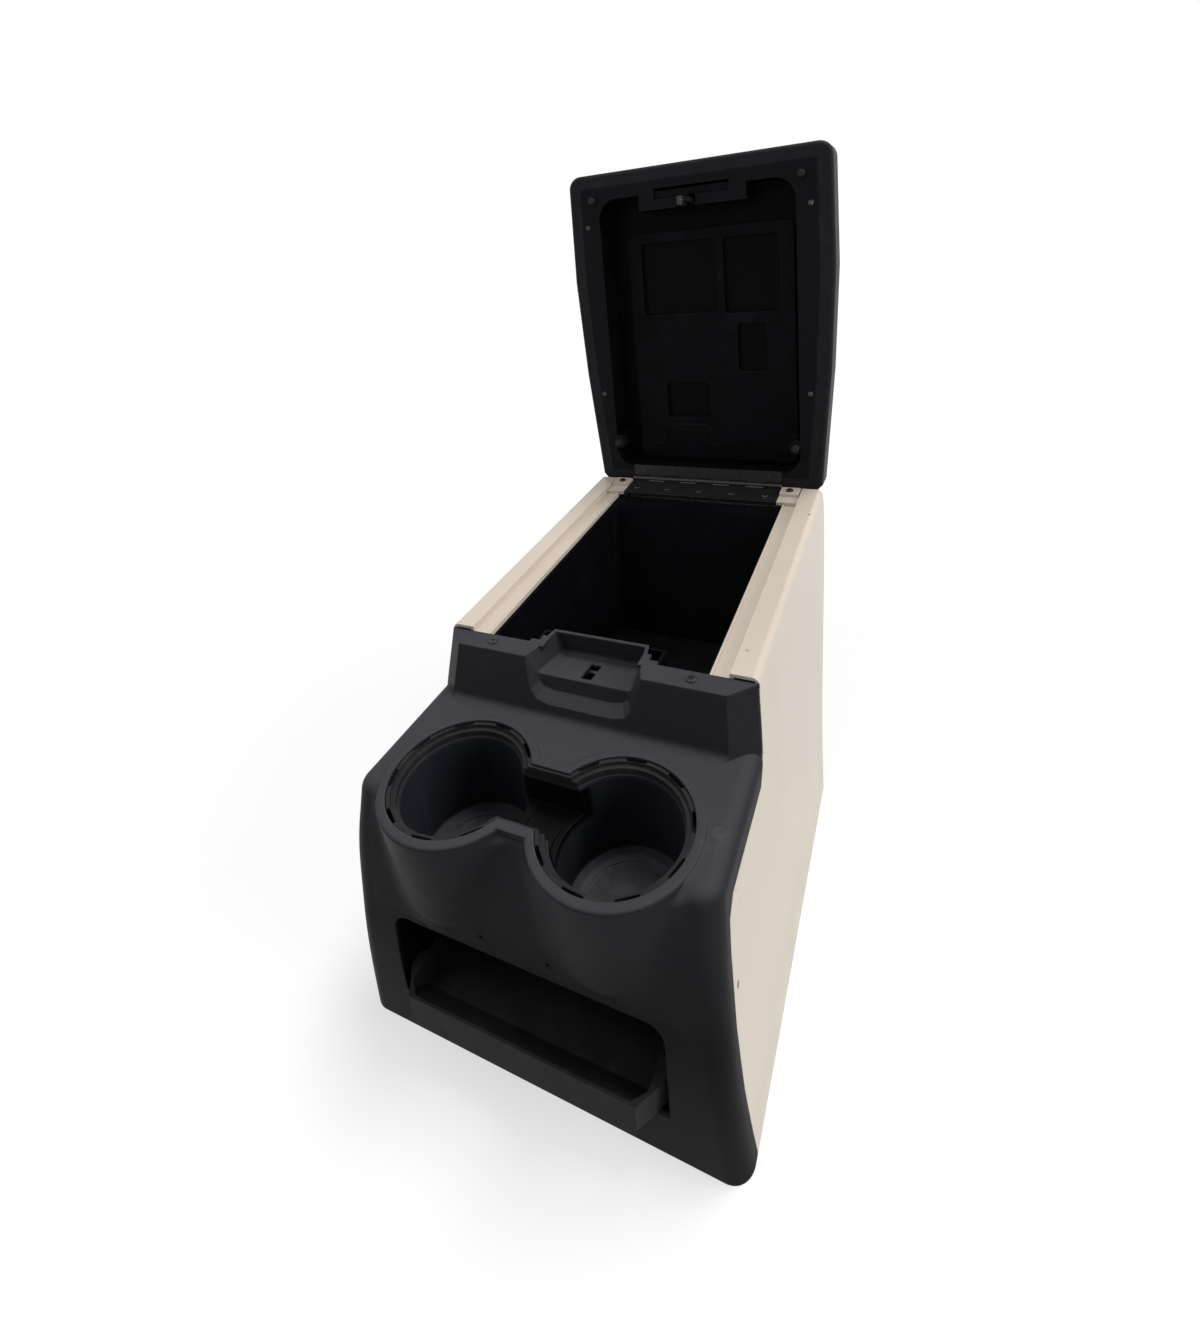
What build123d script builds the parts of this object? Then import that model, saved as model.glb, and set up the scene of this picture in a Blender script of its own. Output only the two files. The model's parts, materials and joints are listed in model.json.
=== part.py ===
from build123d import *
import os

os.makedirs("parts", exist_ok=True)

# All sizes in mm. X to the right, Y to the rear, Z up; the floor is z = 0.
# The origin is the centre of the four floor bolt holes.

# Body
DECK_TOP = 210.0
FLANGE_TOP = 253.0
RAIL_TOP = 257.0
PANEL_WALL = 3.0
BEZEL_WALL = 3.0
SEAM_GAP = 0.4
HALF_WIDTH_FLOOR = 160.0
HALF_WIDTH_WAIST = 151.0
WAIST_HEIGHT = 110.0
HALF_WIDTH_DECK = 145.6
HALF_WIDTH_RAIL = 140.4
RAIL_REAR = 331.8
FLANGE_REAR = 4.0
WALL_TOP_Y = -15.0
WALL_FOLD_Y = -33.0
FRONT_CORNER_RADIUS = 16.0
DECK_EDGE_RADIUS = 12.0
FOLD_RADIUS = 8.0
BEVEL_AT_DECK = ((125, -33), (143, -16))
BEVEL_AT_FLANGE = ((121, -15), (140, 3))
FLANGE_TABS = ((44, 51, 14.5), (51, 59, 8))
FACE_HOLE_X = 27.3
FACE_HOLE_Z = 126.6
FACE_HOLE_R = 1.6
FRONT_PROFILE = [(-132, 222), (-137, 205), (-150, 170), (-160, 125), (-166, 90), (-171, 40), (-173, -12)]

# Rails and ledges that carry the bin and close against the lid
RAIL_INNER_X = 121.4
LEDGE_INNER_X = 102.0
LEDGE_TOP = 250.0
LEDGE_LIP = 1.5
RAIL_SHOULDER_RADIUS = 6.0

# Cups and their openings
CUP_X = 64.9
CUP_Y = -105.9
RING_OUTER_R = 55.0
RING_INNER_R = 48.5
RING_HEIGHT = 8.0
RING_CLEARANCE = 0.3
LIP_OUTER_R = 62.5
LIP_HEIGHT = 1.5
BULGE_FOOT_R = 60.0
BULGE_FOOT_Z = 108.0
BULGE_FOOT_RADIUS = 32.0
LIP_RADIUS = 2.5
COLLAR_WALL = 3.2
BRIDGE_REAR_Y = -80.0
BRIDGE_FRONT_Y = -129.0
BRIDGE_HALF = 30.0
CUP_RIM_R = 47.0
CUP_FLOOR_R = 45.0
CUP_FLOOR_Z = 132.0
CUP_WALL = 2.4
INSERT_FLANGE = 2.5
CHANNEL_FLOOR_Z = 177.0
NOTCH_ANGLES = (-135, -96, -58, -19, 19, 58, 96, 135)
NOTCH_LENGTH = 16.0
NOTCH_DEPTH = 2.8
RING_STEP_WIDTH = 3.0
RING_STEP_DEPTH = 3.0
FLOOR_DISH_R = 33.0
FLOOR_DISH_DEPTH = 0.8
SLIT_DEPTH = 1.2

# Latch recess in the bezel: a tub behind the flange, open to a shallow pocket in the wall
RECESS_FLOOR_FRONT_Z = 237.5
RECESS_FLOOR_REAR_Z = 233.0
RECESS_FRONT_Y = -14.4
RECESS_REAR_Y = 22.0
RECESS_FLOOR_HALF_FRONT = 42.0
RECESS_FLOOR_HALF_REAR = 36.5
RECESS_TOP_HALF_FRONT = 50.5
RECESS_TOP_HALF_REAR = 42.5
RECESS_RADIUS = 4.0
POCKET_MOUTH = [(28, 220), (40.5, 222.5), (45.5, 229), (49.5, 240), (53, 253)]
POCKET_BACK = [(26, 226.9), (36, 228.5), (40.5, 232), (42, 237.5), (50.5, 253)]
LIP_POCKET_DEPTH = 7.0
SLOT_HALF_WIDTH = 5.0
SLOT_FRONT_Y = -10.0
SLOT_REAR_Y = 11.0
STRIKER_ROD_R = 2.0
STRIKER_Y = 7.5
STRIKER_Z = 228.5

# Tray
TRAY_MOUTH_HALF = 110.0
TRAY_MOUTH_TOP = 115.0
TRAY_MOUTH_BOTTOM = 40.0
TRAY_MOUTH_RADIUS = 12.0
TRAY_MOUTH_LOW_RADIUS = 4.0
HOUSING_WALL = 2.0
HOUSING_REAR_Y = -32.0
TRAY_CLEARANCE = 0.3
TRAY_WALL = 2.5
TRAY_TOP = 63.0
TRAY_FRONT_Y = -187.0
TRAY_FRONT_HALF = 92.0
TRAY_CHEEK_HALF = TRAY_MOUTH_HALF - TRAY_MOUTH_LOW_RADIUS
TRAY_CHEEK_Y = -163.0
TRAY_HALF = 100.0
TRAY_REAR_Y = -42.0
TRAY_FRONT_SLOPE = 18.0
TRAY_INNER_RADIUS = 9.0
RUNNER_HEIGHT = 4.0
RUNNER_OVERLAP = 4.0
RUNNER_FRONT_Y = -140.0

# Storage bin
BIN_WALL = 2.5
BIN_FLOOR_Z = 108.0
BIN_FRONT_Y = 8.0
BIN_REAR_TOP_Y = RAIL_REAR - 54.8
BIN_REAR_FLOOR_Y = BIN_REAR_TOP_Y - 58.0
BIN_HALF_TOP = 99.0
BIN_HALF_FLOOR = 90.0
BIN_RIM_WIDTH = 15.0
MAT_THICKNESS = 2.0
NOTCH_ROOM = 2.0

# Hinge, and the crossbar under it
CROSSBAR_DEPTH = 34.0
END_BLOCK_DEPTH = 18.0
END_BLOCK_HEIGHT = 3.5
HINGE_Y = RAIL_REAR + 2.9
HINGE_Z = 257.0
KNUCKLE_R = 3.0
HINGE_PIN_R = 1.5
HINGE_CLEARANCE = 0.05
LEAF_THICKNESS = 1.2
HINGE_HALF_LENGTH = 93.8
KNUCKLE_COUNT = 9
KNUCKLE_GAP = 0.4
BODY_LEAF_WIDTH = 34.0
LID_LEAF_WIDTH = 17.0

# Lid, drawn closed and then turned open; L is the distance from the hinge
LID_OPEN_DEG = 96.6
LID_FRONT_Y = -40.8
LID_LENGTH = HINGE_Y - LID_FRONT_Y
LID_OUTLINE = [(132, -7), (140, 2), (151, 135), (156, 250), (153.5, LID_LENGTH)]
LID_CORNER_RADIUS = 15.0
RIM_Z = HINGE_Z + KNUCKLE_R
LID_TOP_Z = 304.0
LID_TOP_RADIUS = 11.0
LID_RIM_RADIUS = 5.0
LID_SKIN = 3.0
LID_BAND = 16.0
LINER_GAP = 0.3
LINER_WALL = 2.5
CAVITY_HALF = 116.0
CAVITY_REAR_L = 14.0
CAVITY_FRONT_L = LID_LENGTH - 30.5
CAVITY_RADIUS = 24.0
CAVITY_DEPTH = 36.0
PLATE_HEIGHT = 6.0
PLATE = (-93.0, 108.0, 20.0, 302.0)
PLATE_RADIUS = 8.0
POCKET_DEPTH = 5.0
POCKET_RADIUS = 5.0
POCKETS = [(-77, 18, 204, 291), (26, 92, 202, 290), (40, 75, 132, 190), (-54, 3, 74, 119)]
U_RIB = [(-70, 38), (-62, 40), (-58, 60), (-50, 64), (-6, 64), (2, 58), (3, 40), (11, 37)]
U_RIB_WIDTH = 1.6
U_RIB_HEIGHT = 1.2
BOSS_HALF = 63.0
BOSS_DEPTH = 18.0
BOSS_REAR_L = CAVITY_FRONT_L - BOSS_DEPTH
PADDLE_SLOT_HALF = 44.5
PADDLE_SLOT_REAR_L = BOSS_REAR_L + 11.0
PADDLE_SLOT_FRONT_L = BOSS_REAR_L + 23.0
BUMPER_R = 4.0
FRONT_BUMPER = (122.0, CAVITY_FRONT_L)
REAR_BUMPER = (111.0, 47.0)
BUMPER_CLEARANCE = 0.3

# Latch
LATCH_PIN_Y = HINGE_Y - BOSS_REAR_L - 6.7
LATCH_PIN_Z = RIM_Z + 16.0
LATCH_PIN_R = 2.0
LATCH_CLEARANCE = 0.05
LATCH_SIDE_GAP = 0.5
HOOK_HALF = 3.0
HOOK_ROOM = 2.5
LATCH_ROOM = 11.0
PADDLE_BARREL_R = 3.8
LATCH_FRAME_WALL = 1.5
HOOK_EYE_R = 5.0
HOOK_GAP = 0.3
HOOK_SHANK_DEPTH = 3.5

# Screws and floor feet
SCREW_HEAD_R = 4.0
SCREW_SHANK_R = 2.0
SCREW_HEAD_HEIGHT = 1.8
SCREW_HOLE_ROOM = 0.05
SCREW_HOLE_R = SCREW_SHANK_R + SCREW_HOLE_ROOM
LINER_SCREWS = [(131.0, 315.0), (128.0, 110.0)]
LINER_POST_R = 4.5
LINER_SCREW_R = 1.5
LINER_SCREW_DEPTH = 7.0
LINER_HEAD_R = 3.0
LINER_HEAD_HEIGHT = 1.6
FLANGE_SCREW_X = 90.9
FLANGE_SCREW_Y = -5.0
BOLT_X = 115.0
BOLT_Y = 110.0
BOLT_HOLE_R = 4.5
FOOT_THICKNESS = 4.0
FOOT_CLEARANCE = 0.1
FOOT_WIDTH = 34.0
FOOT_TURN_UP = 30.0
REAR_FOOT_Y = 155.0
REAR_WALL_ALONG_Y = 3.7

# Side view of the seam between the bezel and a side panel, from the flange down
SEAM = [(-3.5, 236), (-14, 210), (-20, 199), (-31, 190), (-112, 188), (-124, 180), (-131, 160), (-142, 110),
        (-148, 60), (-151, 0), (-151, -20)]
SEAM_TOP_Y = 2.4

# Well outside the part, for the far ends of cuts
FAR = 400.0


def xy_prism(points, z0, z1):
    return extrude(Plane.XY.offset(z0) * make_face(Polyline(*points, close=True)), z1 - z0)


def yz_prism(points, x0, x1):
    return extrude(Plane.YZ.offset(x0) * make_face(Polyline(*points, close=True)), x1 - x0)


def xz_prism(points, y0, y1):
    return extrude(Plane.XZ.offset(-y1) * make_face(Polyline(*points, close=True)), y1 - y0)


def block(x0, x1, y0, y1, z0, z1):
    return xy_prism([(x0, y0), (x1, y0), (x1, y1), (x0, y1)], z0, z1)


def cylinder_z(x, y, z0, z1, radius):
    return extrude(Plane.XY.offset(z0) * Pos(x, y) * Circle(radius), z1 - z0)


def cone_z(x, y, z0, z1, radius0, radius1):
    low = Plane.XY.offset(z0) * Pos(x, y) * Circle(radius0)
    high = Plane.XY.offset(z1) * Pos(x, y) * Circle(radius1)
    return loft([low, high])


def cylinder_x(x0, x1, y, z, radius):
    return extrude(Plane.YZ.offset(x0) * Pos(y, z) * Circle(radius), x1 - x0)


def cylinder_y(y0, y1, x, z, radius):
    return extrude(Plane.XZ.offset(-y1) * Pos(x, z) * Circle(radius), y1 - y0)


def mirrored(shape):
    return mirror(shape, about=Plane.YZ)


def both_sides(shape):
    return [shape, mirrored(shape)]


def compound_of(shapes):
    solids = []
    for shape in shapes:
        solids.extend(shape.solids())
    return Compound(children=solids)


def width_form(inset, y0, y1, bottom, top):
    """The body's cross section, narrowed by inset on each side."""
    curve = [
        (HALF_WIDTH_FLOOR - inset, 0),
        (HALF_WIDTH_WAIST - inset, WAIST_HEIGHT),
        (HALF_WIDTH_DECK - inset, 200),
        (HALF_WIDTH_RAIL - inset, RAIL_TOP),
    ]
    low = (HALF_WIDTH_FLOOR - inset + 1, bottom)
    high = (HALF_WIDTH_RAIL - inset - 0.3, top)
    outline = Line(high, (-high[0], top))
    for sign in (-1, 1):
        points = [(sign * x, z) for x, z in curve]
        outline = outline + Spline(*points) + Line(points[-1], (sign * high[0], top))
        if bottom < 0:
            outline = outline + Line((sign * low[0], bottom), points[0])
    if bottom < 0:
        outline = outline + Line(low, (-low[0], bottom))
    else:
        outline = outline + Line(curve[0], (-curve[0][0], 0))
    return extrude(Plane.XZ.offset(-y1) * make_face(outline), y1 - y0)


wall_slope = (WALL_TOP_Y - WALL_FOLD_Y) / (FLANGE_TOP - DECK_TOP)


def wall_shift(inset):
    return inset * ((1 + wall_slope * wall_slope) ** 0.5 - wall_slope)


def rear_and_bottom(inset):
    """The outer form ends at the flange and the floor, and the inner one runs past both."""
    return (FLANGE_REAR, 0.0) if inset == 0 else (FLANGE_REAR + 40, -12.0)


def front_form(inset):
    """Everything behind the curved front face."""
    curve = [(y + inset, z) for y, z in FRONT_PROFILE]
    back = Polyline(curve[-1], (FAR, curve[-1][1]), (FAR, FAR), (curve[0][0], FAR), curve[0])
    return extrude(Plane.YZ.offset(-FAR) * make_face(Spline(*curve) + back), 2 * FAR)


def deck_form(inset):
    """The body up to the deck, with the curved front, round corners and a round deck edge."""
    rear, bottom = rear_and_bottom(inset)
    top = DECK_TOP - inset
    form = block(-FAR, FAR, -FAR, rear, bottom, top) & width_form(inset, -FAR, FAR, bottom, RAIL_TOP + 5)
    form = form & front_form(inset)
    corners = [e for e in form.edges() if e.center().Y < -120 and 60 < e.center().Z < 150 and abs(e.center().X) > 120]
    form = fillet(corners, FRONT_CORNER_RADIUS - inset)
    rim = [e for e in form.edges() if e.center().Z > top - 0.1 and e.center().Y < rear - 1]
    return fillet(rim, DECK_EDGE_RADIUS - inset)


def corner_bevel(inset):
    """The wedge outside the bevelled flange corner."""
    def line_at(z):
        share = (z - DECK_TOP) / (FLANGE_TOP - DECK_TOP)
        ends = []
        for low, high in zip(BEVEL_AT_DECK, BEVEL_AT_FLANGE):
            ends.append((low[0] + (high[0] - low[0]) * share, low[1] + (high[1] - low[1]) * share))
        start, end = ends
        dx, dy = end[0] - start[0], end[1] - start[1]
        sx, sy = start[0] - 0.69 * inset, start[1] + 0.73 * inset
        first = (sx - dx, sy - dy)
        last = (sx + 2 * dx, sy + 2 * dy)
        return [first, last, (last[0] + 60, last[1] - 60), (first[0] + 60, first[1] - 60)]
    heights = (DECK_TOP - 2 * DECK_EDGE_RADIUS, FLANGE_TOP - inset)
    return loft([Plane.XY.offset(z) * make_face(Polyline(*line_at(z), close=True)) for z in heights])


def wall_form(inset):
    """The sloping wall and the flange, with a round fold at the deck and bevelled corners."""
    rear = rear_and_bottom(inset)[0]
    shift = wall_shift(inset)
    fold = (WALL_FOLD_Y + shift, DECK_TOP - inset)
    low = DECK_TOP - DECK_EDGE_RADIUS - 2
    outline = [(rear, FLANGE_TOP - inset), (WALL_TOP_Y + shift, FLANGE_TOP - inset), fold,
               (fold[0] - 3 * FOLD_RADIUS, fold[1]), (fold[0] - 3 * FOLD_RADIUS, low), (rear, low)]
    face = Plane.YZ.offset(-FAR) * make_face(Polyline(*outline, close=True))
    folds = [v for v in face.vertices() if abs(v.Y - fold[0]) < 0.01 and abs(v.Z - fold[1]) < 0.01]
    face = fillet(folds, FOLD_RADIUS + inset)
    form = extrude(face, 2 * FAR) & width_form(inset, -FAR, FAR, 0, RAIL_TOP + 5)
    bevel = corner_bevel(inset)
    return form - bevel - mirrored(bevel)


def bezel_form(inset):
    return deck_form(inset) + wall_form(inset)


def cup_bulge(side, inset, top):
    """The round front of a cup well, fading into the face at a rounded foot."""
    form = cone_z(side * CUP_X, CUP_Y, BULGE_FOOT_Z + inset, top, BULGE_FOOT_R - inset, LIP_OUTER_R - inset)
    return fillet(form.edges().group_by(Axis.Z)[0], BULGE_FOOT_RADIUS - inset)


def figure_eight(radius, inner_shift, z0, z1):
    """Two discs joined by a bridge; inner_shift widens or narrows the bridge."""
    shape = cylinder_z(CUP_X, CUP_Y, z0, z1, radius) + cylinder_z(-CUP_X, CUP_Y, z0, z1, radius)
    bridge = block(-BRIDGE_HALF, BRIDGE_HALF, BRIDGE_FRONT_Y - inner_shift, BRIDGE_REAR_Y + inner_shift, z0, z1)
    return shape + bridge


def screw(x, y, z, length):
    head = cylinder_z(x, y, z, z + SCREW_HEAD_HEIGHT, SCREW_HEAD_R)
    head = chamfer(head.edges().group_by(Axis.Z)[-1], 0.7)
    slot = block(x - 2.4, x + 2.4, y - 0.5, y + 0.5, z + 0.9, z + 3)
    cross = block(x - 0.5, x + 0.5, y - 2.4, y + 2.4, z + 0.9, z + 3)
    return head + cylinder_z(x, y, z - length, z, SCREW_SHANK_R) - slot - cross


def panel_zone(gap, top_z):
    """Side view of what belongs to the side panels; the rest is the bezel's."""
    under_flange = FLANGE_TOP - BEZEL_WALL - gap
    start = [(FLANGE_REAR + gap, top_z), (FLANGE_REAR + gap, under_flange), (SEAM_TOP_Y + gap, under_flange)]
    seam = [(y + gap, z - gap) for y, z in SEAM]
    return start + seam + [(FAR, seam[-1][1]), (FAR, top_z)]


# Front bezel: deck, flange, cup bulges and skirt
outer = bezel_form(0)
inner = bezel_form(BEZEL_WALL)
lip_top = DECK_TOP + LIP_HEIGHT
for side in (-1, 1):
    bulge = cup_bulge(side, 0, lip_top)
    outer = outer + fillet(bulge.edges().group_by(Axis.Z)[-1], LIP_RADIUS)
    inner = inner + cup_bulge(side, BEZEL_WALL, DECK_TOP - BEZEL_WALL)
lip_width = LIP_OUTER_R - RING_OUTER_R
outer = outer + block(-BRIDGE_HALF, BRIDGE_HALF, BRIDGE_FRONT_Y - lip_width, BRIDGE_REAR_Y + lip_width,
                      DECK_TOP - BEZEL_WALL, lip_top)
bezel = outer - inner

ring_seat_z = DECK_TOP - RING_HEIGHT
opening_r = RING_OUTER_R + RING_CLEARANCE
collar = figure_eight(opening_r + COLLAR_WALL, RING_CLEARANCE + COLLAR_WALL, ring_seat_z, DECK_TOP)
bezel = bezel + collar - figure_eight(opening_r, RING_CLEARANCE, ring_seat_z - 5, DECK_TOP + 20)


def pocket_face(depth, grow, top):
    """The pocket's outline on a plane parallel to the sloping wall, depth behind it."""
    share = depth / LIP_POCKET_DEPTH
    half = []
    for (mouth_x, mouth_z), (back_x, back_z) in zip(POCKET_MOUTH, POCKET_BACK):
        half.append((mouth_x + (back_x - mouth_x) * share + grow, mouth_z + (back_z - mouth_z) * share - grow))
    rise = (half[-1][0] - half[-2][0]) / (half[-1][1] - half[-2][1])
    half[-1] = (half[-1][0] + rise * (top - half[-1][1]), top)
    stretch = (1 + wall_slope * wall_slope) ** 0.5
    half = [(x, (z - FLANGE_TOP) * stretch) for x, z in half]
    plane = Plane(origin=(0, WALL_TOP_Y + depth, FLANGE_TOP), x_dir=(1, 0, 0), z_dir=(0, -1, wall_slope))
    return plane * make_face(Polyline(*half, *[(-x, z) for x, z in reversed(half)], close=True))


def tub_section(y, grow, top):
    """Cross section of the latch tub at y: floor, leaning sides and open top."""
    share = (RECESS_REAR_Y - y) / (RECESS_REAR_Y - RECESS_FRONT_Y)
    floor_half = RECESS_FLOOR_HALF_REAR + share * (RECESS_FLOOR_HALF_FRONT - RECESS_FLOOR_HALF_REAR)
    top_half = RECESS_TOP_HALF_REAR + share * (RECESS_TOP_HALF_FRONT - RECESS_TOP_HALF_REAR)
    floor_z = RECESS_FLOOR_REAR_Z + share * (RECESS_FLOOR_FRONT_Z - RECESS_FLOOR_REAR_Z)
    lean = (top_half - floor_half) / (FLANGE_TOP - floor_z)
    half = [(floor_half + grow, floor_z - grow), (floor_half + grow + lean * (top - floor_z), top)]
    outline = Polyline(*half, *[(-x, z) for x, z in reversed(half)], close=True)
    return Plane.XZ.offset(-y) * make_face(outline)


# Latch recess: the pocket in the wall, and the tub behind the flange that opens into it
room_top = FLANGE_TOP + 15
backing_depth = LIP_POCKET_DEPTH + BEZEL_WALL
backing = loft([pocket_face(0.5, BEZEL_WALL, FLANGE_TOP), pocket_face(backing_depth, BEZEL_WALL, FLANGE_TOP)])
backing = backing & block(-FAR, FAR, -FAR, FAR, 0, FLANGE_TOP)
tub_rear_y = RECESS_REAR_Y + BEZEL_WALL
tub = loft([tub_section(tub_rear_y, BEZEL_WALL, FLANGE_TOP), tub_section(RECESS_FRONT_Y, BEZEL_WALL, FLANGE_TOP)])
pocket = loft([pocket_face(-5, 0, room_top), pocket_face(LIP_POCKET_DEPTH, 0, room_top)])
tub_room = loft([tub_section(RECESS_REAR_Y, 0, room_top), tub_section(RECESS_FRONT_Y - 15, 0, room_top)])
floor_edges = [e for e in tub_room.edges() if e.center().Z < FLANGE_TOP - 5 and e.center().Y > RECESS_FRONT_Y - 14]
tub_room = fillet(floor_edges, RECESS_RADIUS)
bezel = bezel + backing + tub - pocket - tub_room
bezel = bezel - block(-SLOT_HALF_WIDTH, SLOT_HALF_WIDTH, SLOT_FRONT_Y, SLOT_REAR_Y, STRIKER_Z - 6, FLANGE_TOP)

# Tabs behind the flange, tray mouth, screw holes, and the cut for the side panels
for x0, x1, reach in FLANGE_TABS:
    for tab in both_sides(block(x0, x1, 0, reach, FLANGE_TOP - BEZEL_WALL, FLANGE_TOP)):
        bezel = bezel + tab


def rounded_mouth(form, grow):
    """Round the two upper and the two lower corners of a tray mouth or housing."""
    form = fillet(form.edges().filter_by(Axis.Y).group_by(Axis.Z)[-1], TRAY_MOUTH_RADIUS + grow)
    return fillet(form.edges().filter_by(Axis.Y).group_by(Axis.Z)[0], TRAY_MOUTH_LOW_RADIUS + grow)


def mouth_room(grow, y0, y1):
    half = TRAY_MOUTH_HALF + grow
    return rounded_mouth(block(-half, half, y0, y1, TRAY_MOUTH_BOTTOM - grow, TRAY_MOUTH_TOP + grow), grow)


bezel = bezel - mouth_room(0, -FAR, -120)
for x in (-FLANGE_SCREW_X, FLANGE_SCREW_X):
    bezel = bezel - cylinder_z(x, FLANGE_SCREW_Y, LEDGE_TOP - 10, FLANGE_TOP + 10, SCREW_HOLE_R)
for x in (-FACE_HOLE_X, FACE_HOLE_X):
    bezel = bezel - cylinder_y(CUP_Y - 75, CUP_Y - 35, x, FACE_HOLE_Z, FACE_HOLE_R)
for x0, x1 in ((60, FAR), (-FAR, -60)):
    bezel = bezel - yz_prism(panel_zone(0, FLANGE_TOP - BEZEL_WALL - 0.1), x0, x1)
export_step(bezel, "parts/front_bezel.step")

# Side panels
body_form = width_form(0, -FAR, FAR, 0, RAIL_TOP + 3) & block(-FAR, FAR, -FAR, FAR, 0, RAIL_TOP)
shoulder = [e for e in body_form.edges() if e.center().Z > RAIL_TOP - 0.1 and e.length > 300]
body_form = fillet(shoulder, RAIL_SHOULDER_RADIUS)
body_hollow = width_form(PANEL_WALL, -FAR, FAR, -10, RAIL_TOP + 8)
rail_strip = block(RAIL_INNER_X, FAR, -FAR, FAR, RAIL_TOP - PANEL_WALL, FAR)
side_view = panel_zone(SEAM_GAP, RAIL_TOP)[:-3] + [(REAR_FOOT_Y, 0), (RAIL_REAR - 2, 240), (RAIL_REAR, RAIL_TOP)]
panel = (body_form - (body_hollow - rail_strip)) & yz_prism(side_view, RAIL_INNER_X, FAR)
rail_front = FLANGE_REAR + SEAM_GAP
riser_inner = RAIL_INNER_X - PANEL_WALL
ledge_under = LEDGE_TOP - PANEL_WALL
panel = panel + block(riser_inner, RAIL_INNER_X, rail_front, RAIL_REAR, ledge_under, RAIL_TOP)
panel = panel + block(LEDGE_INNER_X, RAIL_INNER_X, rail_front, RAIL_REAR, ledge_under, LEDGE_TOP)
panel = panel + block(LEDGE_INNER_X, LEDGE_INNER_X + 2, rail_front, RAIL_REAR - CROSSBAR_DEPTH, LEDGE_TOP,
                      LEDGE_TOP + LEDGE_LIP)
ear = block(FLANGE_SCREW_X - 12, FLANGE_SCREW_X + 23, FLANGE_SCREW_Y - 7, rail_front, ledge_under, LEDGE_TOP)
panel = panel + ear + block(LEDGE_INNER_X, RAIL_INNER_X, FLANGE_SCREW_Y, rail_front + 12, ledge_under, LEDGE_TOP)
panel = panel - cylinder_z(FLANGE_SCREW_X, FLANGE_SCREW_Y, LEDGE_TOP - 10, FLANGE_TOP, SCREW_HOLE_R)
export_step(panel, "parts/side_panel_right.step")
export_step(mirrored(panel), "parts/side_panel_left.step")

# Rear panel between the side panels
rear_view = [(REAR_FOOT_Y, 0), (RAIL_REAR - 2, 240), (RAIL_REAR - 1, LEDGE_TOP), (RAIL_REAR - 4.5, LEDGE_TOP),
             (RAIL_REAR - 5.5, 241), (REAR_FOOT_Y - REAR_WALL_ALONG_Y, 0)]
rear_panel = yz_prism(rear_view, -FAR, FAR) & width_form(PANEL_WALL, -FAR, FAR, -10, RAIL_TOP)
rear_cut = block(LEDGE_INNER_X - SEAM_GAP, RAIL_INNER_X + 30, RAIL_REAR - 40, FAR, ledge_under - SEAM_GAP, FAR)
rear_panel = rear_panel - rear_cut - mirrored(rear_cut)
export_step(rear_panel, "parts/rear_panel.step")

# Crossbar under the hinge, with its end blocks
crossbar_half = riser_inner - SEAM_GAP
crossbar_top = HINGE_Z - KNUCKLE_R
end_block_top = crossbar_top + END_BLOCK_HEIGHT
crossbar = block(-crossbar_half, crossbar_half, HINGE_Y - BODY_LEAF_WIDTH - 2, RAIL_REAR, LEDGE_TOP, crossbar_top)
for end in both_sides(block(HINGE_HALF_LENGTH + 1.5, crossbar_half - 1, RAIL_REAR - END_BLOCK_DEPTH, RAIL_REAR,
                            crossbar_top, end_block_top)):
    crossbar = crossbar + end
hinge_screw_x = (-80, -40, 0, 40, 80)
hinge_screw_y = HINGE_Y - BODY_LEAF_WIDTH + 9
end_screw_x = HINGE_HALF_LENGTH + 12
end_screw_y = RAIL_REAR - END_BLOCK_DEPTH / 2
for x in hinge_screw_x:
    crossbar = crossbar - cylinder_z(x, hinge_screw_y, LEDGE_TOP - 10, FAR, SCREW_HOLE_R)
for x in (-end_screw_x, end_screw_x):
    crossbar = crossbar - cylinder_z(x, end_screw_y, LEDGE_TOP - 10, FAR, SCREW_HOLE_R)
export_step(crossbar, "parts/rear_crossbar.step")

# Storage bin: tapered tub with a rim under the ledges and a step round the latch recess
bin_rim_top = ledge_under
bin_slope = (BIN_REAR_TOP_Y - BIN_REAR_FLOOR_Y) / (bin_rim_top - BIN_FLOOR_Z)


def bin_form(grow, z0, z1):
    side = [
        (BIN_FRONT_Y - grow, z0),
        (BIN_REAR_FLOOR_Y + grow + (z0 - BIN_FLOOR_Z) * bin_slope, z0),
        (BIN_REAR_FLOOR_Y + grow + (z1 - BIN_FLOOR_Z) * bin_slope, z1),
        (BIN_FRONT_Y - grow, z1),
    ]
    taper = (BIN_HALF_TOP - BIN_HALF_FLOOR) / (bin_rim_top - BIN_FLOOR_Z)
    half = [(BIN_HALF_FLOOR + grow + (z - BIN_FLOOR_Z) * taper, z) for z in (z0, z1)]
    form = yz_prism(side, -FAR, FAR) & xz_prism(half + [(-x, z) for x, z in reversed(half)], -FAR, FAR)
    return fillet(form.edges().filter_by(lambda e: e.length > 100 and abs(e.center().Z - (z0 + z1) / 2) < 5), 8 + grow)


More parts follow.
